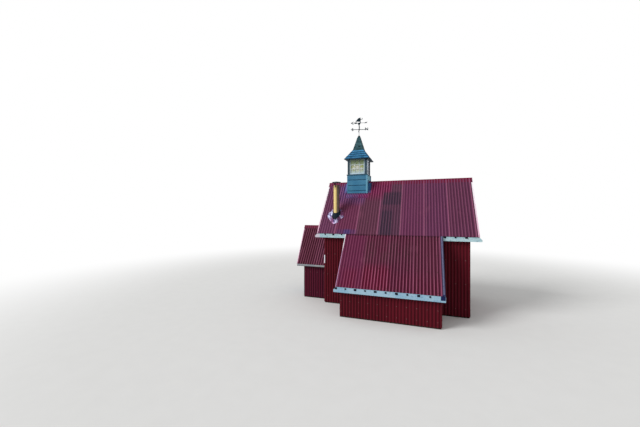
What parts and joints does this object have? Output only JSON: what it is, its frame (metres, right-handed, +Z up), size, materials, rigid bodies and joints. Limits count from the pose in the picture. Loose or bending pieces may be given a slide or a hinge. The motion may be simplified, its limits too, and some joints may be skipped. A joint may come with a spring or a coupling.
{
  "type": "corrugated iron hut",
  "caption": "Small hut in corrugated iron with a steep roof, low side bay, gabled porch, stove flue, glazed cupola and a turning weathervane.",
  "frame": {"origin": "on the ground under the middle of the main ridge", "axes": "+X along the ridge away from the porch, -Y towards the side with the catslide roof, +Z up"},
  "size_m": [5.233, 3.5116, 5.758],
  "materials": {
    "bare_timber": "sawn softwood",
    "wall_iron": "dark red paint on corrugated iron",
    "roof_iron": "faded red paint on corrugated iron",
    "pale_paint": "weathered pale paint",
    "pale_trim": "weathered folded metal trim",
    "lead_trim": "grey rolled flashing",
    "blue_paint": "blue paint on boards",
    "blue_shingle": "blue painted shingles",
    "green_slate": "grey green slates",
    "dark_paint": "dark green grey paint",
    "white_paint": "white paint",
    "window_glass": "clear glass",
    "stainless": "stainless steel",
    "boot_rubber": "black rubber",
    "soft_flashing": "crumpled bare metal",
    "black_iron": "black painted iron"
  },
  "bodies": {
    "hut": {"floor_bearers": "bare_timber", "floor_deck": "bare_timber", "front_wall_left": "bare_timber", "front_wall_right": "bare_timber", "back_wall": "bare_timber", "right_gable_wall": "bare_timber", "left_gable_front": "bare_timber", "left_gable_back": "bare_timber", "left_gable_top": "bare_timber", "eaves_beam": "bare_timber", "outshut_front_wall": "bare_timber", "outshut_cheeks": "bare_timber", "porch_side_walls": "bare_timber", "porch_gable_wall": "bare_timber", "porch_door_frame": "pale_paint", "porch_door": "blue_paint", "ridge_board": "bare_timber", "roof_frame_front": "bare_timber", "roof_frame_back": "bare_timber", "outshut_roof_frame": "bare_timber", "porch_roof_frame": "bare_timber", "front_wall_sheets": "wall_iron", "back_wall_sheets": "wall_iron", "left_gable_sheets": "wall_iron", "right_gable_sheets": "wall_iron", "outshut_wall_sheets": "wall_iron", "porch_wall_sheets": "wall_iron", "roof_sheets_front": "roof_iron", "roof_sheets_back": "roof_iron", "catslide_sheets": "roof_iron", "porch_roof_sheets": "roof_iron", "ridge_caps": "roof_iron", "front_fascias": "pale_paint", "back_fascia": "pale_paint", "catslide_fascia": "pale_paint", "porch_fascias": "pale_paint", "verge_trims": "pale_trim", "catslide_verge_trims": "lead_trim", "flue_pipe": "stainless", "flue_cowl": "stainless", "flue_boot": "boot_rubber", "flue_flashing": "soft_flashing", "cupola_flashing": "roof_iron", "cupola_base": "blue_paint", "cupola_sill": "dark_paint", "cupola_posts": "dark_paint", "cupola_window_frames": "white_paint", "cupola_glass": "window_glass", "cupola_soffit": "dark_paint", "cupola_skirt": "blue_shingle", "cupola_spire": "green_slate", "compass_arms": "black_iron"},
    "vane": {"weathervane": "black_iron"}
  },
  "joints": [
    {"name": "vane_turn", "type": "hinge", "parent": "hut", "child": "vane", "pos_m": [-1.134, 0, 5.58], "axis": [0, 0, 1], "continuous": true}
  ]
}
